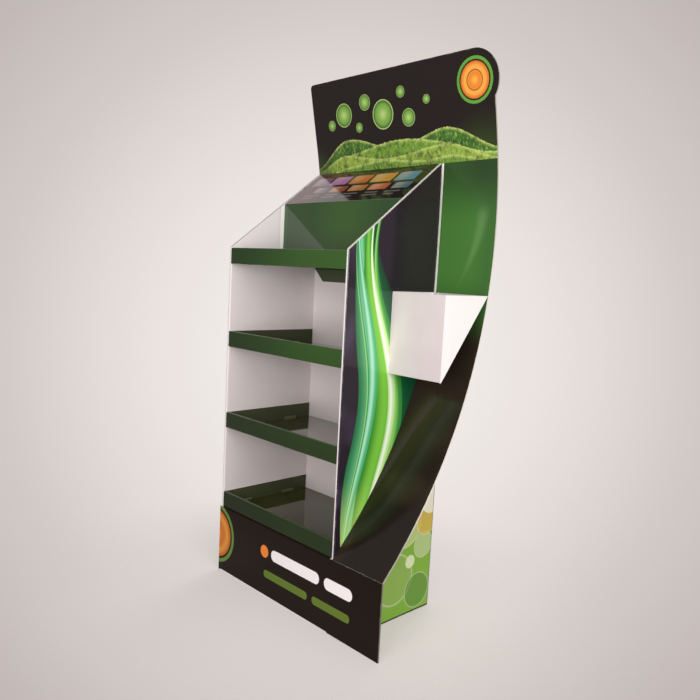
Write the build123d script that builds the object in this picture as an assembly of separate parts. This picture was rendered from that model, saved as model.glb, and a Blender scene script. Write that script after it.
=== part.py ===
from build123d import *
import os
from math import asin, degrees, hypot, sqrt

# Free-standing cardboard display stand: a folded body with four trays, a sloping
# information panel, one curved sheet that is both header and right-hand wing,
# a leaflet pocket, a plinth with a lug, a side fin and slotted ribs in the base.
# Millimetres, +Z up, the front faces -Y, the wing stands on the +X side.
# Origin: middle of the body's footprint, on the floor.

# Board and clearances
wall_board = 5.0        # heavy board: body, header, plinth, fin and ribs
tray_board = 3.0        # light board: trays, information panel and pocket
fold_slack = 0.6        # air between the two layers of a side wall
fit_gap = 0.3           # clearance between neighbouring pieces
overrun = 30.0          # how far a cutting shape passes beyond what it cuts
fold_radius_share = 0.9     # outside radius of a fold, in board thicknesses

# Body
body_width = 600.0
body_depth = 390.0
slope_rise = 295.0      # from the front to the rear corner of a side wall
front_corner_rise = 1.2     # side wall's front corner above the top tray's lip

# Trays
tray_count = 4
tray_pitch = 288.5
tray_lip = 55.0         # height of the lips, floor included
corner_flap = 45.0      # flap of a side lip, tucked into the rolled front lip
lock_tab = 40.0         # tab of the rolled lip, through a slot in the floor
lock_place_share = 0.5      # place of the lock tabs, of half the tray's width
side_tab = 60.0         # tab at the side of the floor, in a slot of the wall
side_tab_shares = (0.25, 0.75)      # places of the side tabs, of the body's depth
rear_flap = 52.0        # flap that hangs down behind the floor
rear_flap_chamfer = 50.0

# Information panel
panel_setback = 225.0   # from the body's front to the panel's vertical face
panel_inset = 1.0       # how far the sloping face lies below the side walls
panel_hook = 38.0       # flap over the back panel's top edge
panel_foot = 30.0       # flap on the top tray's floor
panel_side_flap = 40.0

# Plinth and base
plinth_height = 235.0
top_flange = 60.0
bottom_flange = 80.0
rib_place_share = 0.5       # place of the cross ribs, of half the inner width

# Curved header and wing
wing_reach = 207.0      # from the right wall to the wing's free edge
bulge = 21.0            # farthest point of the curve behind the back panel
bulge_drop = 211.0      # that point's height below the wall's rear corner
header_rise = 315.0     # header's top above the wall's rear corner
bend_rise = 85.0        # where the curve turns straight, above the same corner
lobe_radius = 87.0
lobe_overhang = 17.0    # how far the lobe stands out beyond the free edge
header_corner_radius = 14.0

# Leaflet pocket
pocket_top = 1041.0
pocket_height = 258.0
pocket_depth = 204.0
pocket_glue_flap = 16.0     # flap of each cheek, glued inside the sloped back

# Side fin
fin_offset = 58.0       # from the right wall to the fin's printed face
fin_glue_flap = 40.0

# Places that follow from the sizes
front = -body_depth / 2
rear = body_depth / 2
side = body_width / 2
inner_side = side - 2 * wall_board - fold_slack
inner_rear = rear - wall_board
tray_floor_height = plinth_height + fit_gap
top_tray_height = tray_floor_height + (tray_count - 1) * tray_pitch
wall_front_height = top_tray_height + tray_lip + front_corner_rise
wall_rear_height = wall_front_height + slope_rise
slope_secant = hypot(body_depth, slope_rise) / body_depth
side_tab_places = [front + body_depth * share for share in side_tab_shares]

# Curve of the header sheet: an arc in the YZ plane, through the plinth's front edge
curve_low_y = front - wall_board
curve_far_y = rear + bulge
curve_mid_height = wall_rear_height - bulge_drop
curve_run = curve_far_y - curve_low_y
curve_fall = curve_mid_height - plinth_height
curve_radius = (curve_run**2 + curve_fall**2) / (2 * curve_run)
curve_centre_y = curve_far_y - curve_radius


# Height of the side wall's sloping top edge at a distance y
def slope_height(y):
    return wall_front_height + (y - front) * slope_rise / body_depth


# Front face of the curved sheet at a height z
def curve_y(z):
    return curve_centre_y + sqrt(curve_radius**2 - (z - curve_mid_height)**2)


# Height, below the bulge, at which the curved sheet's front face reaches y
def curve_height(y):
    return curve_mid_height - sqrt(curve_radius**2 - (y - curve_centre_y)**2)


# Section of a folded board from its middle line: square inside each fold, round outside
def folded_section(path, board):
    points = [Vector(*point) for point in path]
    runs = [(end - start).normalized() for start, end in zip(points, points[1:])]
    radius = board * fold_radius_share
    left = []
    right = []
    for index, point in enumerate(points):
        before = runs[max(index - 1, 0)]
        after = runs[min(index, len(runs) - 1)]
        normal = before.rotate(Axis.Z, 90)
        next_normal = after.rotate(Axis.Z, 90)
        mitre = (normal + next_normal) * (board / 2 / (1 + normal.dot(next_normal)))
        turn = before.cross(after).Z
        left.append((point + mitre, radius if turn < 0 else 0))
        right.append((point - mitre, radius if turn > 0 else 0))
    outline = left + right[::-1]
    corners = [corner for corner, _ in outline]
    radii = [corner_radius for _, corner_radius in outline]
    return make_face(FilletPolyline(*corners, radius=radii, close=True))


# Section in the YZ plane, extruded from x = low to x = high
def along_x(section, low, high):
    return extrude(Plane.YZ.offset(low) * section, high - low)


# Section in the XZ plane, extruded from y = low to y = high
def along_y(section, low, high):
    return extrude(Plane.XZ.offset(-high) * section, high - low)


# Box between two corners
def block(x_low, x_high, y_low, y_high, z_low, z_high):
    size = Box(x_high - x_low, y_high - y_low, z_high - z_low, align=Align.MIN)
    return Pos(x_low, y_low, z_low) * size


# The same box on the left and on the right
def blocks_both_sides(x_low, x_high, *rest):
    return [block(x_low, x_high, *rest), block(-x_high, -x_low, *rest)]


# Body

def body_wrap():
    middle = wall_board / 2
    outer = side - middle
    inner = inner_side + middle
    right_half = [(outer, rear - middle), (outer, front + middle), (inner, front + middle),
                  (inner, inner_rear - fit_gap)]
    left_half = [(-x, y) for x, y in right_half[::-1]]
    section = folded_section(left_half + right_half, wall_board)
    body = extrude(section, wall_rear_height + overrun)

    low_y = front - overrun
    high_y = rear + overrun
    high_z = wall_rear_height + 2 * overrun
    above_slope = make_face(Polyline((low_y, slope_height(low_y)), (high_y, slope_height(high_y)),
                                     (high_y, high_z), (low_y, high_z), close=True))
    body -= along_x(above_slope, -side - overrun, side + overrun)

    panel_thickness = tray_board * slope_secant
    back_top = slope_height(inner_rear) - panel_inset - panel_thickness - fit_gap
    body -= block(-inner_side, inner_side, inner_rear - fit_gap, rear + overrun,
                  back_top, wall_rear_height + overrun)

    half_slot = side_tab / 2 + fit_gap
    slot_end = inner_side + wall_board + fold_slack / 2
    for floor_height in tray_heights():
        slot_low = floor_height - fit_gap
        slot_high = floor_height + tray_board + fit_gap
        for y in side_tab_places:
            body -= blocks_both_sides(inner_side - overrun, slot_end,
                                      y - half_slot, y + half_slot, slot_low, slot_high)
    return body


# Trays

def tray_heights():
    return [tray_floor_height + index * tray_pitch for index in range(tray_count)]


# One tray with its floor's underside at z = 0
def tray():
    half = inner_side - fit_gap
    back = inner_rear - fit_gap
    middle = tray_board / 2
    cavity = tray_board + 2 * fit_gap
    lip_depth = 2 * tray_board + cavity
    floor_start = front + tray_board + fit_gap
    floor_end = back - tray_board

    lip_path = [(front + lip_depth - middle, tray_board + fit_gap),
                (front + lip_depth - middle, tray_lip - middle),
                (front + middle, tray_lip - middle),
                (front + middle, middle),
                (floor_start, middle)]
    front_lip = along_x(folded_section(lip_path, tray_board), -half, half)
    end_room = half - tray_board - fit_gap
    front_lip -= blocks_both_sides(end_room, half + overrun, front + tray_board,
                                   front + lip_depth + overrun, tray_board, tray_lip + overrun)

    tub_path = [(half - middle, tray_lip), (half - middle, middle)]
    tub_path += [(-x, z) for x, z in tub_path[::-1]]
    tub = along_y(folded_section(tub_path, tray_board), floor_start, floor_end)

    flap_path = [(floor_end - tray_board, middle), (back - middle, middle),
                 (back - middle, tray_board - rear_flap)]
    flap = along_x(folded_section(flap_path, tray_board), -half, half)
    flap_bottom = tray_board - rear_flap
    corner = make_face(Polyline((half - rear_flap_chamfer, flap_bottom), (half, flap_bottom),
                                (half, 0), close=True))
    corner_cut = along_y(corner, floor_end, back + overrun)
    flap -= [corner_cut, mirror(corner_cut, Plane.YZ)]

    shape = front_lip + tub + flap
    shape += blocks_both_sides(half - tray_board - corner_flap, half - tray_board,
                               floor_start, floor_start + tray_board,
                               tray_board + fit_gap, tray_lip - tray_board - fit_gap)

    tab_reach = tray_board + fit_gap + wall_board
    for y in side_tab_places:
        shape -= blocks_both_sides(half - tray_board, half + overrun, y - side_tab / 2,
                                   y + side_tab / 2, -overrun, tray_board + tab_reach)
        shape += blocks_both_sides(half - tray_board, half - tray_board + tab_reach,
                                   y - side_tab / 2, y + side_tab / 2, 0, tray_board)

    lock_x = half * lock_place_share
    half_lock = lock_tab / 2
    lock_rear = front + lip_depth
    lock_front = lock_rear - tray_board
    shape -= blocks_both_sides(lock_x - half_lock - fit_gap, lock_x + half_lock + fit_gap,
                               lock_front - fit_gap, lock_rear + fit_gap, -overrun, tray_board)
    shape += blocks_both_sides(lock_x - half_lock, lock_x + half_lock,
                               lock_front, lock_rear, 0, tray_board + fit_gap)
    return shape


# Information panel

def info_panel():
    half = inner_side - fit_gap
    middle = tray_board / 2
    face_y = front + panel_setback + middle
    foot_z = top_tray_height + tray_board + fit_gap + middle
    drop = panel_inset + middle * slope_secant
    hook_y = rear + fit_gap + middle
    hook_z = slope_height(hook_y) - drop
    path = [(face_y + panel_foot, foot_z), (face_y, foot_z), (face_y, slope_height(face_y) - drop),
            (hook_y, hook_z), (hook_y, hook_z - panel_hook)]
    panel = along_x(folded_section(path, tray_board), -half, half)

    room = half - tray_board - fit_gap
    panel -= blocks_both_sides(room, half + overrun, face_y - overrun, face_y + panel_foot + overrun,
                               top_tray_height, top_tray_height + tray_lip + fit_gap)

    flap_front = face_y + middle + fit_gap
    flap_rear = inner_rear - fit_gap
    top = [(y, slope_height(y) - drop) for y in (flap_front, flap_rear)]
    bottom = [(y, z - panel_side_flap) for y, z in top[::-1]]
    flap = make_face(Polyline(*top, *bottom, close=True))
    panel += along_x(flap, half - tray_board, half)
    panel += along_x(flap, -half, tray_board - half)
    return panel


# Curved header and wing

# Closed profile of the sheet in the YZ plane: an arc that turns straight near the top
def curve_profile():
    start = degrees(asin((plinth_height - overrun - curve_mid_height) / curve_radius))
    bend = degrees(asin((bulge_drop + bend_rise) / curve_radius))
    straight = header_rise - bend_rise + overrun
    centre = (curve_centre_y, curve_mid_height)
    front_arc = CenterArc(centre, curve_radius, start, bend - start)
    rear_arc = CenterArc(centre, curve_radius + wall_board, start, bend - start)
    front_line = Line(front_arc @ 1, front_arc @ 1 + (front_arc % 1) * straight)
    rear_line = Line(rear_arc @ 1, rear_arc @ 1 + (rear_arc % 1) * straight)
    edges = [front_arc, front_line, Line(front_line @ 1, rear_line @ 1), rear_line,
             rear_arc, Line(rear_arc @ 0, front_arc @ 0)]
    return make_face(edges)


def curved_header():
    left = -side
    free_edge = side + wing_reach
    wing_left = side + fit_gap
    bottom = plinth_height + fit_gap
    top = wall_rear_height + header_rise
    tongue_bottom = curve_height(rear + fit_gap)
    lobe_x = free_edge + lobe_overhang - lobe_radius
    lobe_z = top - lobe_radius

    header = make_face(FilletPolyline((left, tongue_bottom), (left, top), (lobe_x, top),
                                      (lobe_x, lobe_z), (free_edge, lobe_z),
                                      (free_edge, tongue_bottom),
                                      radius=[0, header_corner_radius, 0, 0, 0, 0], close=True))
    wing = make_face(Polyline((wing_left, bottom), (free_edge, bottom), (free_edge, lobe_z),
                              (wing_left, lobe_z), close=True))
    lobe = Pos(lobe_x, lobe_z) * Circle(lobe_radius)
    outline = header + wing + lobe

    sheet = along_x(curve_profile(), left - overrun, free_edge + lobe_overhang + overrun)
    window = along_y(outline, front - body_depth, rear + body_depth)
    return sheet & window


# Leaflet pocket: its sloped back rises from the front panel's foot to the wing

def leaflet_pocket():
    left = side + fit_gap
    right = side + wing_reach
    middle = tray_board / 2
    back_y = curve_y(pocket_top) - fit_gap
    face_y = back_y - pocket_depth + middle
    foot = pocket_top - pocket_height + tray_board
    board_rise = middle * hypot(back_y - face_y, pocket_height) / pocket_height
    steepness = (pocket_top - foot) / (back_y - board_rise - face_y)

    def back_height(y):
        return foot + (y - face_y) * steepness

    over_y = back_y + overrun
    path = [(face_y, pocket_top), (face_y, foot), (over_y, back_height(over_y))]
    pocket = along_x(folded_section(path, tray_board), left, right)
    cheek = make_face(Polyline((face_y, foot), (face_y, back_height(over_y)),
                               (over_y, back_height(over_y)), close=True))
    flap_lift = tray_board * hypot(1, steepness)
    flap_path = [(y, back_height(y) + flap_lift) for y in (face_y + 2 * tray_board, over_y)]
    flap = folded_section(flap_path, tray_board)
    pocket += along_x(cheek, left, left + tray_board)
    pocket += along_x(flap, left, left + tray_board + pocket_glue_flap)
    pocket += along_x(cheek, right - tray_board, right)
    pocket += along_x(flap, right - tray_board - pocket_glue_flap, right)
    above = block(left - overrun, right + overrun, front - overrun, rear + body_depth,
                  pocket_top, back_height(over_y) + body_depth)
    return pocket - above


# Plinth

def plinth_front():
    middle = wall_board / 2
    face_y = front - middle
    half = inner_side - fit_gap
    path = [(front + top_flange, plinth_height - middle), (face_y, plinth_height - middle),
            (face_y, middle), (front + bottom_flange, middle)]
    folded = along_x(folded_section(path, wall_board), -half, half)
    right_end = block(half, side + wing_reach, front - wall_board, front, 0, plinth_height)
    left_end = block(-side, -half, front - wall_board, front, 0, plinth_height)
    return folded + right_end + left_end


# Side fin: a folded sheet under the wing, cut off by the curve

def side_fin():
    middle = wall_board / 2
    face_x = side + fin_offset - middle
    wall_x = side + fit_gap
    front_y = front + fit_gap + middle
    rear_y = rear - middle
    path = [(wall_x, front_y), (face_x, front_y), (face_x, rear_y), (wall_x + middle, rear_y),
            (wall_x + middle, rear_y - fin_glue_flap)]
    top = curve_height(rear) + overrun
    fin = extrude(folded_section(path, wall_board), top)
    reach = curve_radius + wall_board + fit_gap
    profile = Pos(curve_centre_y, curve_mid_height) * Circle(reach)
    above_curve = along_x(profile, wall_x - overrun, face_x + overrun)
    fin -= above_curve
    return fin


# Base ribs, half-lapped into each other

def rib_places():
    return [-inner_side * rib_place_share, inner_side * rib_place_share]


def base_rib_long():
    half = inner_side - fit_gap
    rib = block(-half, half, -wall_board / 2, wall_board / 2, 0, plinth_height)
    half_slot = wall_board / 2 + fit_gap
    for x in rib_places():
        rib -= block(x - half_slot, x + half_slot, -wall_board, wall_board,
                     plinth_height / 2, plinth_height + overrun)
    return rib


def base_rib_cross(x):
    start = front + fit_gap
    end = inner_rear - tray_board - 2 * fit_gap
    half_board = wall_board / 2
    clear = wall_board + fit_gap
    rib = block(x - half_board, x + half_board, start, end, 0, plinth_height)
    rib -= block(x - wall_board, x + wall_board, start - overrun, front + top_flange + fit_gap,
                 plinth_height - clear, plinth_height + overrun)
    rib -= block(x - wall_board, x + wall_board, start - overrun, front + bottom_flange + fit_gap,
                 -overrun, clear)
    rib -= block(x - wall_board, x + wall_board, -half_board - fit_gap, half_board + fit_gap,
                 -overrun, plinth_height / 2 + fit_gap)
    return rib


# Files

os.makedirs("parts", exist_ok=True)


def write(shape, name):
    export_step(shape, f"parts/{name}.step")


write(body_wrap(), "body_wrap")
one_tray = tray()
for number, height in enumerate(tray_heights(), start=1):
    write(Pos(0, 0, height) * one_tray, f"tray_{number}")
write(info_panel(), "info_panel")
write(curved_header(), "curved_header")
write(leaflet_pocket(), "leaflet_pocket")
write(plinth_front(), "plinth_front")
write(side_fin(), "side_fin")
write(base_rib_long(), "base_rib_long")
left_place, right_place = rib_places()
write(base_rib_cross(left_place), "base_rib_left")
write(base_rib_cross(right_place), "base_rib_right")
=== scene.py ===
import math

import bpy
from mathutils import Matrix, Vector

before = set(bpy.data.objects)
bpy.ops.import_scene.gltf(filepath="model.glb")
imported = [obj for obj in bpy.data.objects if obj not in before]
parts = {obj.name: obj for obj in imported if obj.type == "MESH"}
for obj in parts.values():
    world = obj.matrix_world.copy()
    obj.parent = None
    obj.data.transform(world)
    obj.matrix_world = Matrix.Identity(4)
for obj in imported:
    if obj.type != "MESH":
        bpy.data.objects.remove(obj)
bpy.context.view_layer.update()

print("frame loaded:", len(parts), "parts")


def ink(red, green, blue):      # a screen colour, 0 to 255, as the shader wants it
    colour = []
    for channel in (red, green, blue):
        share = channel / 255
        colour.append(((share + 0.055) / 1.055) ** 2.4 if share > 0.04045 else share / 12.92)
    return (*colour, 1)


def feed(tree, value, slot):        # wires a field or a socket into a slot, or sets a plain value there
    if isinstance(value, Field):
        value = value.socket
    if isinstance(value, bpy.types.NodeSocket):
        tree.links.new(value, slot)
    else:
        slot.default_value = value


def mixColours(tree, share, under, over):       # over counts where share is 1
    node = tree.nodes.new("ShaderNodeMix")
    node.data_type = "RGBA"
    feed(tree, share, node.inputs[0])
    feed(tree, under, node.inputs[6])
    feed(tree, over, node.inputs[7])
    return node.outputs[2]


def colourRamp(tree, field, stops, blend):      # stops are places from 0 to 1, each with its colour
    node = tree.nodes.new("ShaderNodeValToRGB")
    node.color_ramp.interpolation = blend
    elements = node.color_ramp.elements
    while len(elements) < len(stops):
        elements.new(0.5)
    for element, (place, colour) in zip(elements, stops):
        element.position = place
        element.color = colour
    feed(tree, field, node.inputs[0])
    return node.outputs[0]


class Field:        # a number that varies over the surface, used like a plain one
    def __init__(self, tree, socket):
        self.tree = tree
        self.socket = socket

    def calc(self, operation, *others):
        node = self.tree.nodes.new("ShaderNodeMath")
        node.operation = operation
        for slot, value in zip(node.inputs, (self, *others)):
            feed(self.tree, value, slot)
        return Field(self.tree, node.outputs[0])

    def __add__(self, other):
        return self.calc("ADD", other)

    def __sub__(self, other):
        return self.calc("SUBTRACT", other)

    def __mul__(self, other):
        return self.calc("MULTIPLY", other)

    def __truediv__(self, other):
        return self.calc("DIVIDE", other)

    def __rsub__(self, other):
        return self * -1 + other

    __radd__ = __add__
    __rmul__ = __mul__

    def __abs__(self):
        return self.calc("ABSOLUTE")

    def sine(self):
        return self.calc("SINE")

    def fade(self, low, high):      # 0 at low, 1 at high, smooth between
        node = self.tree.nodes.new("ShaderNodeMapRange")
        node.interpolation_type = "SMOOTHSTEP"
        for name, value in (("Value", self), ("From Min", low), ("From Max", high)):
            feed(self.tree, value, node.inputs[name])
        return Field(self.tree, node.outputs[0])

    def within(self, low, high, soft=0.0003):
        return self.fade(low - soft, low + soft) * self.fade(high + soft, high - soft)

    def towards(self, way):     # for a normal: 1 where it points squarely this way, 1 or -1
        return self.fade(way * 0.8, way * 0.95)


class Paint:        # a material while it is drawn: ground, prints, wear, relief
    def __init__(self, name, ior=1.5):
        self.material = bpy.data.materials.new(name)
        self.material.use_nodes = True
        self.tree = self.material.node_tree
        self.tree.nodes.clear()
        self.place = self.tree.nodes.new("ShaderNodeTexCoord").outputs["Object"]
        self.x, self.y, self.z = self.split(self.place)
        face = self.tree.nodes.new("ShaderNodeNewGeometry").outputs["True Normal"]
        self.faceX, self.faceY, self.faceZ = self.split(face)
        self.shader = self.tree.nodes.new("ShaderNodeBsdfPrincipled")
        self.shader.inputs["IOR"].default_value = ior
        self.relief = self.noise(9, 2) * 0.0002     # boards are never quite flat

    def split(self, vector):
        node = self.tree.nodes.new("ShaderNodeSeparateXYZ")
        feed(self.tree, vector, node.inputs[0])
        return [Field(self.tree, socket) for socket in node.outputs]

    def noise(self, scale, detail, stretch=(1, 1, 1), rough=0.5):
        mapping = self.tree.nodes.new("ShaderNodeMapping")
        feed(self.tree, stretch, mapping.inputs["Scale"])
        feed(self.tree, self.place, mapping.inputs["Vector"])
        node = self.tree.nodes.new("ShaderNodeTexNoise")
        feed(self.tree, scale, node.inputs["Scale"])
        feed(self.tree, detail, node.inputs["Detail"])
        feed(self.tree, rough, node.inputs["Roughness"])
        feed(self.tree, mapping.outputs[0], node.inputs["Vector"])
        return Field(self.tree, node.outputs[0])

    def clouds(self, scale):        # large soft patches
        return self.noise(scale, 1).fade(0.5, 0.8)

    def ramp(self, field, stops):       # colours from 0 to 1 along a field
        return colourRamp(self.tree, field, stops, "EASE")

    def ground(self, colour, rough):        # one colour all over, a little uneven in its roughness
        self.colour = colour
        self.rough = self.noise(35, 2) * 0.06 + (rough - 0.03)

    def lay(self, colour, mask):        # colour over what is there, where the mask is 1
        self.colour = mixColours(self.tree, mask, self.colour, colour)

    def sheen(self, rough, mask):       # changes the roughness where the mask is 1
        self.rough = self.rough + mask * (rough - self.rough)

    def varnish(self, weight, ior):     # a clear coat with a sharp mirror
        feed(self.tree, weight, self.shader.inputs["Coat Weight"])
        self.shader.inputs["Coat IOR"].default_value = ior
        self.shader.inputs["Coat Roughness"].default_value = 0.04

    def cover(self, *pieces):       # wires everything up and puts the material on the pieces
        bump = self.tree.nodes.new("ShaderNodeBump")
        bump.inputs["Distance"].default_value = 1
        output = self.tree.nodes.new("ShaderNodeOutputMaterial")
        feed(self.tree, self.colour, self.shader.inputs["Base Color"])
        feed(self.tree, self.rough, self.shader.inputs["Roughness"])
        feed(self.tree, self.relief, bump.inputs["Height"])
        feed(self.tree, bump.outputs[0], self.shader.inputs["Normal"])
        feed(self.tree, self.shader.outputs[0], output.inputs[0])
        for piece in pieces:
            for slot in parts[piece].material_slots:
                slot.material = self.material


# Sizes of the stand that several prints are fitted to, in metres

stand = {
    "front": -0.195, "rear": 0.195, "inner wall": 0.2894, "right end": 0.507,
    "first tray": 0.2353, "tray pitch": 0.2885,
}


def aboveTray(z):       # height over a tray's floor, counted from 0.1 m under it
    under = 0.1
    return (z - stand["first tray"] + under).calc("MODULO", stand["tray pitch"]) - under


# Board: two weights, white liners with a wavy sheet between

heavyBoard = {"thickness": 0.005, "flute pitch": 0.0074}
lightBoard = {"thickness": 0.003, "flute pitch": 0.0052}

whiteBoard = {
    "liner": ink(235, 224, 223), "liner tone": ink(226, 214, 213), "specks": ink(190, 178, 168),
    "cut liner": ink(250, 245, 239), "cut paper": ink(243, 235, 225), "cut hollow shade": ink(222, 211, 198),
    "rubbed": ink(196, 186, 178), "rough": 0.55, "cut rough": 0.75, "rubbed rough": 0.6,
}


def whiteLiner(paint, colour=whiteBoard["liner"]):
    paint.ground(colour, whiteBoard["rough"])
    paint.lay(whiteBoard["liner tone"], paint.noise(4, 4).fade(0.35, 0.7) * 0.5)
    paint.lay(whiteBoard["specks"], paint.noise(900, 1).fade(0.66, 0.74) * 0.12)


def fluteWave(along, board):        # -1 to 1, once up and down in a pitch
    return (along * (math.tau / board["flute pitch"])).sine()


def washboard(paint, along, board, depth):      # the flutes showing faintly through the liner
    paint.relief = paint.relief + fluteWave(along, board) * depth


def cutEdge(paint, depth, along, mask, board):      # depth is how far in from the board's face
    offCentre = depth / board["thickness"] - 0.5
    liner = abs(offCentre).fade(0.34, 0.4)
    paper = abs(offCentre - fluteWave(along, board) * 0.33).fade(0.15, 0.09)
    # painted shade in the hollows between the flutes
    paint.lay(whiteBoard["cut hollow shade"], mask)
    paint.lay(whiteBoard["cut paper"], mask * paper)
    paint.lay(whiteBoard["cut liner"], mask * liner)
    paint.sheen(whiteBoard["cut rough"], mask)
    paint.relief = paint.relief + mask * (paper.calc("MAXIMUM", liner) - 1) * 0.0004


def scuffs(paint, distance, mask, reach=0.004):     # print rubbed off close to an edge
    worn = distance.fade(reach, 0) * paint.noise(26, 4, rough=0.6).fade(0.48, 0.72) * mask
    paint.lay(whiteBoard["rubbed"], worn * 0.32)
    paint.sheen(whiteBoard["rubbed rough"], worn)


# Shapes that the prints are drawn with

def apart(across, up):      # length of a line from its two legs
    return (across * across + up * up).calc("SQRT")


def disc(u, v, centreU, centreV, radius):       # distance from a centre, 1 at the rim
    return apart(u - centreU, v - centreV) / radius


def roundedTile(u, v, centreU, centreV, halfWide, halfHigh, corner):
    soft = 0.0005
    wide = (abs(u - centreU) - (halfWide - corner)).calc("MAXIMUM", 0)
    high = (abs(v - centreV) - (halfHigh - corner)).calc("MAXIMUM", 0)
    return apart(wide, high).fade(corner + soft, corner - soft)


def ringBadge(paint, u, v, badge, mask):        # a plain ripple inside a ring
    out = disc(u, v, *badge["middle"], badge["radius"])
    end = badge["ripple end"]
    paint.lay(paint.ramp(out, badge["ripple"]), mask * out.fade(end, end - 0.02))
    paint.lay(badge["ring"], mask * out.within(end + 0.06, 1.0, badge["soft"]))
    return out


# Body: white inside, dark side walls with sweeping green ribbons

sideWalls = {
    "ground": ink(33, 23, 35), "rear ground": ink(41, 35, 37), "cloud": ink(72, 58, 80), "rough": 0.12,
    "wall shade": ink(190, 178, 176), "left fold shade": ink(214, 202, 199), "slope shade": ink(176, 163, 164),
    "slope": 295 / 390, "front height": 1.157, "ply and gap": 0.0056, "flute relief": 0.000008,
    # the panel's side flaps, drawn as a painted highlight strip: y from and to, lowest z, and the painted
    # shadow line in front of them
    "flap": (0.012, 0.034), "flap foot": 1.106,
    "flap line": (0.0105, 0.0125), "flap shade": ink(186, 176, 178),
    # tray slots, drawn as painted shade: middles and half width in y, lowest and highest over the tray's
    # floor
    "slots": (-0.0975, 0.0975), "half slot": 0.0303,
    "slot rise": (-0.0004, 0.0116), "slot": ink(104, 112, 76),
    # middle, swing, turn, start, half width, colours from one edge to the other
    "ribbons": (
        (-0.026, 0.080, 5.4, -2.05, 0.060, (ink(8, 56, 32), ink(22, 98, 58), ink(12, 70, 40))),
        (-0.094, 0.052, 6.2, -2.90, 0.052, (ink(34, 112, 62), ink(122, 200, 150), ink(60, 156, 70))),
        (-0.058, 0.058, 6.2, -2.72, 0.040, (ink(40, 122, 34), ink(120, 192, 64), ink(70, 156, 44))),
        (-0.112, 0.046, 6.2, -3.05, 0.012, (ink(70, 168, 110), ink(168, 224, 190), ink(80, 176, 116))),
        (-0.020, 0.064, 6.2, -2.50, 0.018, (ink(50, 130, 56), ink(140, 204, 100), ink(60, 140, 56))),
        (-0.040, 0.062, 6.2, -2.62, 0.010, (ink(180, 220, 136), ink(240, 248, 226), ink(190, 226, 150))),
        (-0.126, 0.038, 6.8, -3.30, 0.004, (ink(60, 140, 70), ink(140, 206, 130), ink(60, 140, 70))),
    ),
    "ribbon foot": ink(196, 226, 120),
}


def paintBody():
    paint = Paint("printedWallBoard")
    whiteLiner(paint)
    x, y, z = paint.x, paint.y, paint.z
    washboard(paint, x + y, heavyBoard, sideWalls["flute relief"])
    reach = abs(x)
    innerSide = reach.fade(0.2898, 0.2896)
    outside = reach.fade(0.2968, 0.2974) * abs(paint.faceX).fade(0.25, 0.4) * y.fade(0.1942, 0.1938)

    # painted shade: darker low down, and darker on the inner walls towards the front opening
    paint.lay(sideWalls["wall shade"], z.fade(0.95, 0.30) * y.fade(0.1946, 0.1944) * 0.45)
    frontShade = innerSide * y.fade(0.03, -0.19) * z.fade(1.16, 1.10)
    paint.lay(sideWalls["wall shade"], frontShade * (z.fade(1.0, 0.8) * 0.08 + 0.26))
    # painted shade: the left front fold is drawn greyer and darker than the right one
    leftFoldShade = x.fade(-0.2888, -0.2894) * y.fade(-0.1925, -0.1945)      # greyer than the right one
    paint.lay(sideWalls["left fold shade"], leftFoldShade * 0.7)
    paint.lay(sideWalls["ground"], leftFoldShade * x.fade(-0.2965, -0.2990) * 0.45)

    # print
    paint.lay(sideWalls["ground"], outside)
    paint.lay(sideWalls["rear ground"], outside * y.fade(-0.05, 0.12))
    paint.lay(sideWalls["cloud"], outside * paint.clouds(7) * y.fade(0.06, -0.1) * 0.8)
    swell = z.fade(0.18, 0.55) * z.fade(1.22, 0.82) * 1.3 + 0.34
    for middle, swing, turn, start, half, (edgeColour, heart, farColour) in sideWalls["ribbons"]:
        across = (y - middle - (z * turn + start).sine() * swing) / (swell * half)
        stops = ((0, edgeColour), (0.42, heart), (0.8, farColour), (1, edgeColour))
        ribbon = outside * abs(across).fade(1, 0.965)
        paint.lay(paint.ramp(across * 0.5 + 0.5, stops), ribbon)
        paint.lay(sideWalls["ribbon foot"], ribbon * z.fade(0.50, 0.24) * 0.6)
    paint.sheen(sideWalls["rough"], outside)
    fromFront = y - stand["front"]
    underSlope = fromFront * sideWalls["slope"] + sideWalls["front height"] - z
    scuffs(paint, underSlope.calc("MINIMUM", fromFront).calc("MINIMUM", z), outside)

    # the panel's side flaps, glued flat on the inner walls: a painted highlight strip, with a painted
    # shadow line in front of it
    flap = innerSide * z.fade(sideWalls["flap foot"], sideWalls["flap foot"] + 0.002)
    paint.lay(whiteBoard["cut liner"], flap * y.within(*sideWalls["flap"]) * 0.7)
    paint.lay(sideWalls["flap shade"], flap * y.within(*sideWalls["flap line"]) * 0.8)

    # painted shade for the side slots behind the trays' tabs, in a dark green near the trays' colour
    slotRise = aboveTray(z).within(*sideWalls["slot rise"])
    half = sideWalls["half slot"]
    for middle in sideWalls["slots"]:
        paint.lay(sideWalls["slot"], innerSide * y.within(middle - half, middle + half) * slotRise)

    # cut edges: the side walls are two plies with a gap, the back is one
    plyAndGap = sideWalls["ply and gap"]
    sideDepth = ((reach - stand["inner wall"]) / plyAndGap).calc("FRACT") * plyAndGap
    backDepth = y - (stand["rear"] - heavyBoard["thickness"])
    sloped = paint.faceZ.fade(0.5, 0.7) * paint.faceY.fade(-0.4, -0.5)
    level = abs(paint.faceZ).towards(1)
    cutEdge(paint, sideDepth, y, sloped + level * reach.fade(0.2885, 0.2890), heavyBoard)
    paint.lay(sideWalls["slope shade"], sloped * x.fade(-0.280, -0.286) * 0.6)
    cutEdge(paint, backDepth, x, level * reach.fade(0.2890, 0.2885), heavyBoard)
    paint.cover("body_wrap")


# Trays: high-gloss green on both sides

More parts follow.
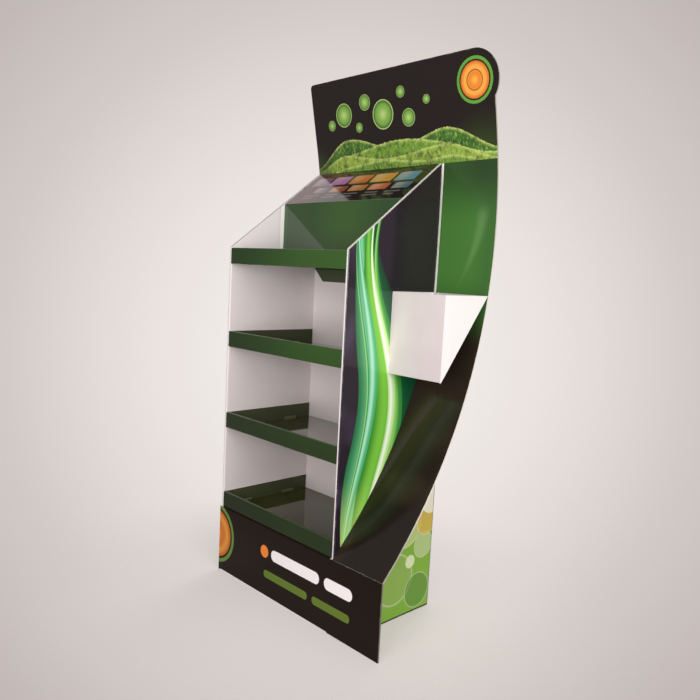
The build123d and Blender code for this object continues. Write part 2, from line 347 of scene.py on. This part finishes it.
trayPrint = {
    "top right": ink(53, 87, 35), "top left": ink(30, 54, 22), "bottom": ink(28, 37, 15),
    "cloud": ink(52, 72, 36), "fold": ink(90, 108, 72), "inner lip": ink(70, 74, 50),
    "rear flap": ink(76, 84, 58), "floor": ink(76, 76, 36),
    "rough": 0.06, "flute relief": 0.000003, "varnish ior": 1.7,
    # inner faces of the side lips and the rear flap, and heights over the tray's floor
    "side lip": 0.2861, "rear board": 0.1867,
    "fold rise": (0.0520, 0.0555), "lip top": 0.0540, "flap end": -0.0484,
}


def paintTrays():
    paint = Paint("trayBoard", ior=1.26)
    x, y, z = paint.x, paint.y, paint.z
    height = aboveTray(z)
    paint.ground(trayPrint["top left"], trayPrint["rough"])
    paint.lay(trayPrint["top right"], x.fade(-0.30, 0.22))
    # painted shade: the lower trays are drawn darker
    paint.lay(trayPrint["bottom"], z.fade(1.15, 0.36) * 0.9)
    paint.lay(trayPrint["cloud"], paint.noise(5, 2).fade(0.45, 0.8) * 0.25)
    washboard(paint, x, lightBoard, trayPrint["flute relief"])
    # painted highlight along the fold at the top of the front lip
    foldHighlight = height.within(*trayPrint["fold rise"]) * paint.faceY.fade(-0.95, -0.75)
    paint.lay(trayPrint["fold"], foldHighlight * y.fade(-0.182, -0.186) * 0.5)
    innerLip = abs(paint.faceX).towards(1) * abs(x).fade(0.2870, 0.2866)
    paint.lay(trayPrint["inner lip"], innerLip * 0.9)
    rearFlap = y.fade(0.1852, 0.1858) * height.fade(-0.002, -0.006)
    paint.lay(trayPrint["rear flap"], rearFlap)
    floor = paint.faceZ.fade(0.4, 0.6) * height.fade(0.006, 0.004)
    paint.lay(trayPrint["floor"], floor * 0.7)
    clearer = z.fade(0.26, 0.48) * 0.6 + 0.4        # the lowest tray mirrors least
    paint.varnish((floor * 0.9 + 0.1) * clearer, trayPrint["varnish ior"])
    lipTop = height.fade(trayPrint["lip top"], trayPrint["lip top"] + 0.0006) * paint.faceZ.towards(1)
    flapEnd = height.fade(trayPrint["flap end"], trayPrint["flap end"] - 0.0004) * paint.faceZ.towards(-1)
    cutEdge(paint, abs(x) - trayPrint["side lip"], y, lipTop * y.fade(-0.1853, -0.1849), lightBoard)
    cutEdge(paint, y - trayPrint["rear board"], x, flapEnd, lightBoard)
    paint.cover("tray_1", "tray_2", "tray_3", "tray_4")


# Information panel: sloping face with colour tiles, green upright face

infoPrint = {
    "ground": ink(28, 22, 18), "left painted sheen": ink(104, 50, 46),
    "upright": ink(12, 62, 0), "upright heart": ink(38, 82, 4), "heart place": (0.04, 1.235, 0.22),
    "rough": 0.10, "flute relief": 0.000003, "varnish ior": 1.6,
    # middle x and y, half width and height, colour
    "tiles": (
        (-0.215, 0.146, 0.042, 0.022, ink(120, 92, 124)), (-0.118, 0.146, 0.044, 0.022, ink(178, 112, 176)),
        (-0.016, 0.146, 0.046, 0.022, ink(196, 96, 40)), (0.092, 0.146, 0.050, 0.022, ink(206, 140, 48)),
        (0.200, 0.146, 0.046, 0.022, ink(86, 134, 156)), (-0.168, 0.098, 0.034, 0.015, ink(104, 88, 104)),
        (-0.078, 0.098, 0.040, 0.015, ink(150, 74, 44)), (0.018, 0.098, 0.040, 0.015, ink(176, 104, 50)),
        (0.118, 0.098, 0.044, 0.015, ink(190, 88, 54)), (0.220, 0.098, 0.038, 0.015, ink(78, 112, 124)),
    ),
    "tile corner": 0.007, "tile shine": ink(226, 196, 160),
    # middle x and y, half length
    "bars": (
        (-0.190, 0.070, 0.040), (-0.085, 0.070, 0.030), (0.010, 0.070, 0.036), (0.110, 0.070, 0.030),
        (0.205, 0.070, 0.034), (-0.200, 0.057, 0.028), (-0.090, 0.057, 0.034), (0.004, 0.057, 0.026),
        (0.114, 0.057, 0.034), (0.198, 0.057, 0.024),
    ),
    "bar": ink(104, 96, 94), "half bar": 0.0035, "bar corner": 0.0034,
}


def paintInfoPanel():
    paint = Paint("panelBoard", ior=1.42)
    whiteLiner(paint)
    x, y, z = paint.x, paint.y, paint.z
    washboard(paint, x, lightBoard, infoPrint["flute relief"])

    # sloping face
    face = paint.faceZ.fade(0.5, 0.7) * y.fade(0.029, 0.031)
    paint.lay(infoPrint["ground"], face)
    # painted sheen: a warm lighter patch towards the left end
    paint.lay(infoPrint["left painted sheen"], face * x.fade(0, -0.24) * 0.7)
    for centreX, centreY, halfWide, halfHigh, colour in infoPrint["tiles"]:
        tile = face * roundedTile(x, y, centreX, centreY, halfWide, halfHigh, infoPrint["tile corner"])
        paint.lay(colour, tile)
        shine = disc(x, y, centreX - halfWide / 2, centreY + halfHigh / 2, halfWide * 1.2).fade(1, 0)
        paint.lay(infoPrint["tile shine"], tile * shine * 0.35)
    for centreX, centreY, halfLong in infoPrint["bars"]:
        bar = roundedTile(x, y, centreX, centreY, halfLong, infoPrint["half bar"], infoPrint["bar corner"])
        paint.lay(infoPrint["bar"], face * bar)

    # upright face
    upright = paint.faceY.fade(-0.75, -0.85) * y.fade(0.0335, 0.0325)
    paint.lay(infoPrint["upright"], upright)
    paint.lay(infoPrint["upright heart"], upright * disc(x, z, *infoPrint["heart place"]).fade(1, 0))
    paint.varnish(upright * 0.83 + 0.05, infoPrint["varnish ior"])
    paint.sheen(infoPrint["rough"], face + upright)
    paint.cover("info_panel")


# Header and wing: one curved sheet, printed in front

headerPrint = {
    "ground": ink(27, 19, 17), "rough": 0.14, "flute relief": 0.000004,
    "top": 1.7665, "body top": 1.4300, "picture foot": 1.4525, "inked edge": ink(158, 148, 136),
    "margin": (0.2982, 0.3070), "margin foot": 1.0398, "margin lean": 0.69,
    # the bend's centre is y, z
    "bend centre": (-1.208385, 1.241), "bend radius": 1.424385, "bend height": 1.537,
    # x, z, radius, strength
    "hazes": ((0.46, 1.44, 0.18, 0.7), (-0.32, 1.44, 0.13, 0.8)),
    "haze": ink(54, 74, 29),
    # x, z, radius of the floating discs
    "discs": (
        (-0.205, 1.618, 0.018), (-0.138, 1.646, 0.040), (-0.066, 1.598, 0.016), (-0.030, 1.676, 0.026),
        (0.052, 1.628, 0.048), (0.138, 1.688, 0.018), (0.166, 1.606, 0.028), (0.246, 1.652, 0.014),
    ),
    "disc tones": (
        (0, ink(186, 214, 120)), (0.6, ink(128, 174, 76)),
        (0.9, ink(74, 118, 44)), (0.96, ink(196, 220, 136)),
    ),
    # crest height, swing, turn, start, crest colour, foot colour
    "hills": (
        (1.540, 0.022, 14.0, 3.25, ink(64, 110, 38), ink(22, 50, 16)),
        (1.524, 0.018, 10.0, 0.37, ink(112, 150, 52), ink(36, 76, 22)),
        (1.500, 0.013, 12.0, 3.97, ink(140, 166, 66), ink(48, 90, 28)),
        (1.476, 0.007, 17.0, 1.00, ink(104, 142, 48), ink(34, 70, 22)),
    ),
    "hill rim": ink(188, 204, 110), "hill reach": 0.075, "end drop": 0.05, "left shade": ink(20, 40, 14),
    # colour, noise scale and detail, stretch, where the blades show, strength
    "blades": (
        (ink(26, 58, 18), 42, 7, (1, 1, 0.7), (0.56, 0.38), 0.75),
        (ink(190, 204, 108), 110, 5, (1, 1, 0.6), (0.50, 0.68), 0.7),
    ),
    "wing": ink(69, 117, 51), "wing top": ink(47, 76, 35), "wing side": ink(50, 84, 40),
    "wing corner": ink(34, 54, 28), "wall gap shade": ink(26, 21, 25), "wing low": ink(42, 33, 25),
    "wing foot": ink(20, 15, 11), "wing cloud": ink(56, 48, 32),
    # middle x and z, lean and bow of the pale beam
    "beam": ink(120, 160, 98), "beam path": (0.444, 1.22, 0.24, 0.9),
    "badge": {
        "middle": (0.437, 1.680), "radius": 0.066, "ring": ink(96, 156, 58),
        "ripple end": 0.80, "soft": 0.01,
        "ripple": (
            (0, ink(246, 178, 70)), (0.3, ink(232, 132, 44)),
            (0.55, ink(244, 168, 72)), (0.8, ink(214, 108, 36)),
        ),
    },
    "badge line": ink(128, 64, 26), "lobe radius": 0.087,
}


def drawHills(paint, front):
    x, z = paint.x, paint.z
    for centreX, centreZ, radius, strength in headerPrint["hazes"]:
        haze = disc(x, z, centreX, centreZ, radius).fade(1, 0.1)
        paint.lay(headerPrint["haze"], front * haze * strength)
    for centreX, centreZ, radius in headerPrint["discs"]:
        out = disc(x, z, centreX, centreZ, radius)
        paint.lay(paint.ramp(out, headerPrint["disc tones"]), front * out.fade(1.01, 0.97) * 0.92)

    # one hill in front of the other, with grassy crests that drop towards both ends
    drop = headerPrint["end drop"]
    ends = x.fade(-0.31, -0.14) * (x.fade(0.52, 0.30) * 0.7 + 0.3)
    grass = paint.noise(150, 3, stretch=(1, 1, 0.5), rough=0.7) * 0.012 - 0.006
    hillside = 0
    for crest, swing, turn, start, crestColour, footColour in headerPrint["hills"]:
        top = (x * turn + start).sine() * swing + (ends * drop + (crest - drop)) + grass
        stops = ((0, headerPrint["hill rim"]), (0.16, crestColour), (0.4, crestColour), (1, footColour))
        hill = (top - z).fade(-0.0004, 0.0006)
        paint.lay(paint.ramp((top - z) / headerPrint["hill reach"], stops), front * hill)
        hillside = hill.calc("MAXIMUM", hillside)

    foot = headerPrint["picture foot"]
    turf = front * hillside * z.fade(foot, foot + 0.001)
    for colour, scale, detail, stretch, shown, strength in headerPrint["blades"]:
        paint.lay(colour, turf * paint.noise(scale, detail, stretch, rough=0.8).fade(*shown) * strength)
    paint.lay(headerPrint["left shade"], turf * x.fade(-0.18, -0.29) * 0.7)


def drawWing(paint, front, wallGapShade):     # green field, darker below the pocket
    x, z = paint.x, paint.z
    foot = headerPrint["picture foot"]
    wing = front * z.fade(foot + 0.001, foot)
    paint.lay(headerPrint["wing"], wing)
    paint.lay(headerPrint["wing top"], wing * z.fade(1.24, 1.45))
    # painted shade in the gap behind the body's wall, beside the white margin
    paint.lay(headerPrint["wall gap shade"], wing * z.fade(1.03, 1.04) * wallGapShade)
    paint.lay(headerPrint["wing side"], wing * x.fade(0.42, 0.50) * 0.5)
    paint.lay(headerPrint["wing corner"], wing * z.fade(1.29, 1.43) * x.fade(0.34, 0.46) * 0.6)

    middleX, middleZ, lean, bow = headerPrint["beam path"]
    rise = z - middleZ
    beam = abs(x - middleX - rise * lean + rise * rise * bow) / (z.fade(1.02, 1.32) * 0.024 + 0.008)
    beam = wing * beam.fade(1, 0.05) * z.fade(1.03, 1.20) * z.fade(1.330, 1.275)
    paint.lay(headerPrint["beam"], beam * 0.34)

    paint.lay(headerPrint["wing low"], wing * z.fade(1.03, 0.88))
    paint.lay(headerPrint["wing foot"], wing * z.fade(0.75, 0.35) * 0.7)
    paint.lay(headerPrint["wing cloud"], wing * paint.clouds(6) * z.fade(0.9, 0.6) * 0.6)


def depthInBend(y, z):      # how deep in the sheet, along the arc and the straight top
    centreY, centreZ = headerPrint["bend centre"]
    radius = headerPrint["bend radius"]
    height = headerPrint["bend height"]
    lean = math.asin((height - centreZ) / radius)
    arcDepth = apart(y - centreY, z - centreZ) - radius
    flatDepth = (y - centreY) * math.cos(lean) + (z - centreZ) * math.sin(lean) - radius
    return arcDepth + z.fade(height - 0.001, height + 0.001) * (flatDepth - arcDepth)


def paintHeader():
    paint = Paint("headerBoard", ior=1.4)
    whiteLiner(paint)
    x, y, z = paint.x, paint.y, paint.z
    washboard(paint, x, heavyBoard, headerPrint["flute relief"])

    # a narrow white margin stands beside the body's wall, leaning as the sheet bends forward
    leaning = x + (y - stand["rear"]) * headerPrint["margin lean"]
    margin = leaning.within(*headerPrint["margin"])
    margin = margin * z.within(headerPrint["margin foot"], headerPrint["picture foot"])
    aboveBody = z.fade(headerPrint["body top"], headerPrint["body top"] + 0.0004)
    besideBody = x.fade(0.2616, 0.2620) * (1 - margin)
    facing = paint.faceY.fade(-0.3, -0.5)
    front = facing * aboveBody.calc("MAXIMUM", besideBody) * (1 - margin)
    paint.lay(whiteBoard["cut liner"], facing * margin)
    paint.lay(headerPrint["ground"], front)
    drawHills(paint, front)
    drawWing(paint, front, leaning.fade(0.2984, 0.2980))

    # badge on the lobe
    badge = headerPrint["badge"]
    out = ringBadge(paint, x, z, badge, front)
    paint.lay(headerPrint["badge line"], front * out.within(0.40, 0.45, 0.01) * 0.8)
    paint.sheen(headerPrint["rough"], front)
    fromEdge = (stand["right end"] - x).calc("MINIMUM", headerPrint["top"] - z)
    fromRim = headerPrint["lobe radius"] - disc(x, z, *badge["middle"], 1)
    scuffs(paint, fromEdge.calc("MAXIMUM", fromRim), front, 0.003)

    edge = abs(paint.faceY).fade(0.5, 0.3)
    cutEdge(paint, depthInBend(y, z), x + z, edge, heavyBoard)
    paint.lay(headerPrint["inked edge"], edge * (z.fade(1.0, 1.5) + z.fade(0.44, 0.28)) * 0.8)
    paint.cover("curved_header")


# Leaflet pocket: plain white board, drawn darker than the body's as painted shade, with its side faces
# drawn lighter as painted light

pocket = {
    "liner": ink(208, 192, 193), "side": ink(245, 240, 237), "soil": ink(204, 192, 184),
    "flute relief": 0.000004, "middle": 0.40365, "half opening": 0.10035, "rim": 1.0395,
}


def paintPocket():
    paint = Paint("pocketBoard")
    whiteLiner(paint, pocket["liner"])
    # painted light: the side faces drawn lighter than the front
    paint.lay(pocket["side"], abs(paint.faceX).fade(0.5, 0.8) * 0.9)
    washboard(paint, paint.x + paint.y, lightBoard, pocket["flute relief"])
    rim = paint.faceZ.towards(1) * paint.z.fade(pocket["rim"], pocket["rim"] + 0.0005)
    depth = abs(abs(paint.x - pocket["middle"]) - pocket["half opening"])
    cutEdge(paint, depth, paint.y, rim, lightBoard)
    soil = paint.noise(14, 4, rough=0.6).fade(0.55, 0.8) * paint.z.fade(1.0, 1.041)
    paint.lay(pocket["soil"], soil * 0.25)
    paint.cover("leaflet_pocket")


# Plinth: black with plain bars and half a ring badge at the left end

plinthPrint = {
    "ground": ink(26, 15, 9), "cloud": ink(30, 20, 15), "inked end": ink(66, 54, 44),
    "rough": 0.20, "flute relief": 0.000005, "front": -0.2, "left end": -0.3,
    # middle x and z, half length and height, colour
    "bars": (
        (0.125, 0.152, 0.120, 0.019, ink(236, 226, 226)), (0.330, 0.152, 0.062, 0.019, ink(236, 226, 226)),
        (0.080, 0.078, 0.112, 0.013, ink(92, 112, 40)), (0.300, 0.078, 0.085, 0.013, ink(92, 112, 40)),
    ),
    # x, z, radius
    "spot place": (-0.032, 0.152, 0.021), "spot": ink(226, 126, 48),
    "badge": {
        "middle": (-0.318, 0.132), "radius": 0.108, "ring": ink(96, 128, 54),
        "ripple end": 0.82, "soft": 0.008,
        "ripple": (
            (0, ink(214, 146, 60)), (0.4, ink(196, 108, 40)),
            (0.6, ink(212, 138, 58)), (0.82, ink(176, 92, 34)),
        ),
    },
}


def paintPlinth():
    paint = Paint("plinthBoard", ior=1.2)
    whiteLiner(paint)
    x, y, z = paint.x, paint.y, paint.z
    washboard(paint, x, heavyBoard, plinthPrint["flute relief"])
    foldedTop = abs(x).fade(0.2892, 0.2888) * paint.faceZ.fade(0.1, 0.3) * z.fade(0.228, 0.229)
    front = (paint.faceY.towards(-1) * y.fade(-0.1985, -0.1990)).calc("MAXIMUM", foldedTop)
    paint.lay(plinthPrint["ground"], front)
    paint.lay(plinthPrint["cloud"], front * paint.clouds(5) * 0.5)
    for centreX, centreZ, halfLong, halfHigh, colour in plinthPrint["bars"]:
        bar = roundedTile(x, z, centreX, centreZ, halfLong, halfHigh, halfHigh * 0.96)
        paint.lay(colour, front * bar)
    paint.lay(plinthPrint["spot"], front * disc(x, z, *plinthPrint["spot place"]).fade(1.02, 0.98))
    ringBadge(paint, x, z, plinthPrint["badge"], front)
    paint.sheen(plinthPrint["rough"], front)
    fromEdge = z.calc("MINIMUM", stand["right end"] - x).calc("MINIMUM", x - plinthPrint["left end"])
    scuffs(paint, fromEdge, front, 0.003)
    ends = abs(paint.faceX).towards(1)
    lugTop = paint.faceZ.towards(1) * z.fade(0.234, 0.2345) * x.fade(0.2888, 0.2892)
    cutEdge(paint, y - plinthPrint["front"], x + z, ends + lugTop, heavyBoard)
    paint.lay(plinthPrint["inked end"], ends * 0.85)
    paint.cover("plinth_front")


# Side fin: bright green with soft overlapping discs

finPrint = {
    "low": ink(124, 170, 50), "high": ink(214, 168, 92), "border": ink(30, 26, 16),
    "rough": 0.16, "flute relief": 0.000005, "inner face": 0.353, "border width": 0.0052,
    "disc rim": ink(236, 240, 196),
    # y, z, radius, colour, strength
    "discs": (
        (-0.100, 0.060, 0.070, ink(88, 150, 40), 0.6), (0.020, 0.130, 0.085, ink(142, 170, 84), 0.6),
        (0.130, 0.070, 0.060, ink(76, 124, 44), 0.6), (0.060, 0.300, 0.075, ink(206, 212, 150), 0.55),
        (0.150, 0.220, 0.045, ink(200, 212, 160), 0.55), (0.165, 0.400, 0.060, ink(224, 204, 96), 0.6),
        (0.110, 0.460, 0.050, ink(150, 150, 50), 0.5), (0.170, 0.620, 0.070, ink(190, 160, 40), 0.5),
        (-0.040, 0.210, 0.035, ink(228, 238, 190), 0.55), (0.090, 0.175, 0.022, ink(232, 240, 200), 0.7),
        (0.160, 0.296, 0.046, ink(214, 176, 78), 0.75), (0.180, 0.372, 0.052, ink(240, 232, 212), 0.85),
    ),
}


def paintFin():
    paint = Paint("finBoard", ior=1.45)
    whiteLiner(paint)
    x, y, z = paint.x, paint.y, paint.z
    washboard(paint, y, heavyBoard, finPrint["flute relief"])
    face = paint.faceX.towards(1) * x.fade(0.3570, 0.3575)
    paint.lay(finPrint["low"], face)
    paint.lay(finPrint["high"], face * z.fade(0.2, 0.5))
    for centreY, centreZ, radius, colour, strength in finPrint["discs"]:
        out = disc(y, z, centreY, centreZ, radius)
        paint.lay(colour, face * out.fade(1.01, 0.96) * strength)
        paint.lay(finPrint["disc rim"], face * out.within(0.93, 1.0, 0.02) * strength * 0.5)
    wide = finPrint["border width"]
    border = (stand["rear"] - y).calc("MINIMUM", z).fade(wide + 0.0004, wide - 0.0004)
    paint.lay(finPrint["border"], face * border)
    paint.sheen(finPrint["rough"], face)
    scuffs(paint, z, face)
    edge = paint.faceZ.fade(0.5, 0.65).calc("MAXIMUM", paint.faceZ.towards(-1))
    cutEdge(paint, x - finPrint["inner face"], y, edge, heavyBoard)
    paint.cover("side_fin")


# Ribs in the base: unprinted brown board

brownBoard = {
    "liner": ink(198, 172, 138), "fibres": ink(176, 148, 112), "rough": 0.7, "flute relief": 0.000008,
}


def paintRibs():
    paint = Paint("plainBoard")
    paint.ground(brownBoard["liner"], brownBoard["rough"])
    fibres = paint.noise(60, 5, stretch=(1, 1, 6), rough=0.7).fade(0.4, 0.7)
    paint.lay(brownBoard["fibres"], fibres * 0.5)
    washboard(paint, paint.x + paint.y, heavyBoard, brownBoard["flute relief"])
    paint.cover("base_rib_long", "base_rib_left", "base_rib_right")


paintBody()
paintTrays()
paintInfoPanel()
paintHeader()
paintPocket()
paintPlinth()
paintFin()
paintRibs()
print("boards and prints done:", len(bpy.data.materials), "materials")


# Studio: pale floor that melts into a pale backdrop, four soft lamps

studio = {
    "view": {
        "place": (1.7830, -1.5994, 1.0943), "azimuth": 46.0733, "elevation": 6.307, "roll": 2.9281,
        "lens": 36.431,
    },
    "floor colour": ink(237, 230, 226), "floor radius": 6, "floor height": -0.0005,
    # how far out the floor has melted away, where that begins, and how dense the floor is before it
    "floor fade": (1.1, 0.30), "floor share": 0.55,
    "sky light": 0.34,
    # brightness by angle from the line of sight: cosine, colour
    "backdrop": (
        (-1.0, ink(200, 193, 189)), (-0.3, ink(186, 178, 174)), (0.0, ink(172, 164, 160)),
        (0.60, ink(180, 171, 168)), (0.80, ink(188, 178, 175)), (0.90, ink(211, 203, 199)),
        (0.955, ink(231, 223, 219)), (1.0, ink(243, 239, 236)),
    ),
    "lamps": {
        "keyLamp": {"place": (3.1, -1.05, 1.5), "size": 2.0, "power": 65, "aim": (0.1, 0, 1.0)},
        "frontLamp": {"place": (1.3, -2.85, 1.15), "size": 2.0, "power": 61, "aim": (0, 0, 1.0)},
        "topLamp": {"place": (-2.4, 0.3, 4.0), "size": 2.6, "power": 9, "aim": (0, 0, 1.4)},
        "backLamp": {"place": (-1.2, 3.0, 2.0), "size": 2.2, "power": 42, "aim": (0, 0.2, 0.9)},
    },
}


def lookAlong(view):        # right, up and back axes of the camera
    turn, rise, lean = (math.radians(view[name]) for name in ("azimuth", "elevation", "roll"))
    back = Vector((math.sin(turn) * math.cos(rise), -math.cos(turn) * math.cos(rise), math.sin(rise)))
    right = (-back).cross(Vector((0, 0, 1))).normalized()
    up = right.cross(-back)
    return right * math.cos(lean) + up * math.sin(lean), up * math.cos(lean) - right * math.sin(lean), back


def placeCamera():
    view = studio["view"]
    bpy.ops.object.camera_add(location=view["place"])
    camera = bpy.context.object
    camera.name = "photoCamera"
    axes = Matrix(lookAlong(view)).transposed()
    camera.matrix_world = Matrix.Translation(view["place"]) @ axes.to_4x4()
    camera.data.lens = view["lens"]
    bpy.context.scene.camera = camera


def layFloor():
    bpy.ops.object.select_all(action="DESELECT")
    place = (0, 0, studio["floor height"])
    bpy.ops.mesh.primitive_circle_add(
        vertices=96, radius=studio["floor radius"], fill_type="NGON", location=place)
    floor = bpy.context.object
    floor.name = "studioFloor"
    material = bpy.data.materials.new("studioFloor")
    material.use_nodes = True
    tree = material.node_tree
    tree.nodes.clear()
    length = tree.nodes.new("ShaderNodeVectorMath")
    length.operation = "LENGTH"
    feed(tree, tree.nodes.new("ShaderNodeTexCoord").outputs["Object"], length.inputs[0])
    shown = Field(tree, length.outputs["Value"]).fade(*studio["floor fade"]) * studio["floor share"]
    paper = tree.nodes.new("ShaderNodeBsdfDiffuse")
    paper.inputs["Color"].default_value = studio["floor colour"]
    glass = tree.nodes.new("ShaderNodeBsdfTransparent")
    mix = tree.nodes.new("ShaderNodeMixShader")
    output = tree.nodes.new("ShaderNodeOutputMaterial")
    feed(tree, 1 - shown, mix.inputs[0])
    feed(tree, paper.outputs[0], mix.inputs[1])
    feed(tree, glass.outputs[0], mix.inputs[2])
    feed(tree, mix.outputs[0], output.inputs[0])
    floor.data.materials.append(material)


def lightSky():
    world = bpy.data.worlds.new("studioWorld")
    bpy.context.scene.world = world
    world.use_nodes = True
    tree = world.node_tree
    tree.nodes.clear()
    aim = tree.nodes.new("ShaderNodeVectorMath")
    aim.operation = "DOT_PRODUCT"
    feed(tree, tree.nodes.new("ShaderNodeTexCoord").outputs["Generated"], aim.inputs[0])
    feed(tree, -lookAlong(studio["view"])[2], aim.inputs[1])
    stops = [((cosine + 1) / 2, colour) for cosine, colour in studio["backdrop"]]
    backdrop = colourRamp(tree, Field(tree, aim.outputs["Value"]) * 0.5 + 0.5, stops, "LINEAR")

    # the backdrop is only seen, mirrored and seen through; everything else gets one plain level
    path = tree.nodes.new("ShaderNodeLightPath")
    seen = Field(tree, path.outputs["Is Camera Ray"])
    for ray in ("Is Glossy Ray", "Is Transmission Ray"):
        seen = seen.calc("MAXIMUM", path.outputs[ray])
    level = studio["sky light"]
    background = tree.nodes.new("ShaderNodeBackground")
    output = tree.nodes.new("ShaderNodeOutputWorld")
    feed(tree, mixColours(tree, seen, (level, level, level, 1), backdrop), background.inputs[0])
    feed(tree, background.outputs[0], output.inputs[0])


def hangLamp(name, settings):
    bpy.ops.object.light_add(type="AREA", location=settings["place"])
    lamp = bpy.context.object
    lamp.name = name
    lamp.data.shape = "DISK"
    lamp.data.size = settings["size"]
    lamp.data.energy = settings["power"]
    direction = Vector(settings["place"]) - Vector(settings["aim"])
    lamp.rotation_euler = direction.to_track_quat("Z", "Y").to_euler()


layFloor()
lightSky()
for lampName, lampSettings in studio["lamps"].items():
    hangLamp(lampName, lampSettings)
placeCamera()
bpy.context.scene.view_settings.view_transform = "Standard"
print("studio done")
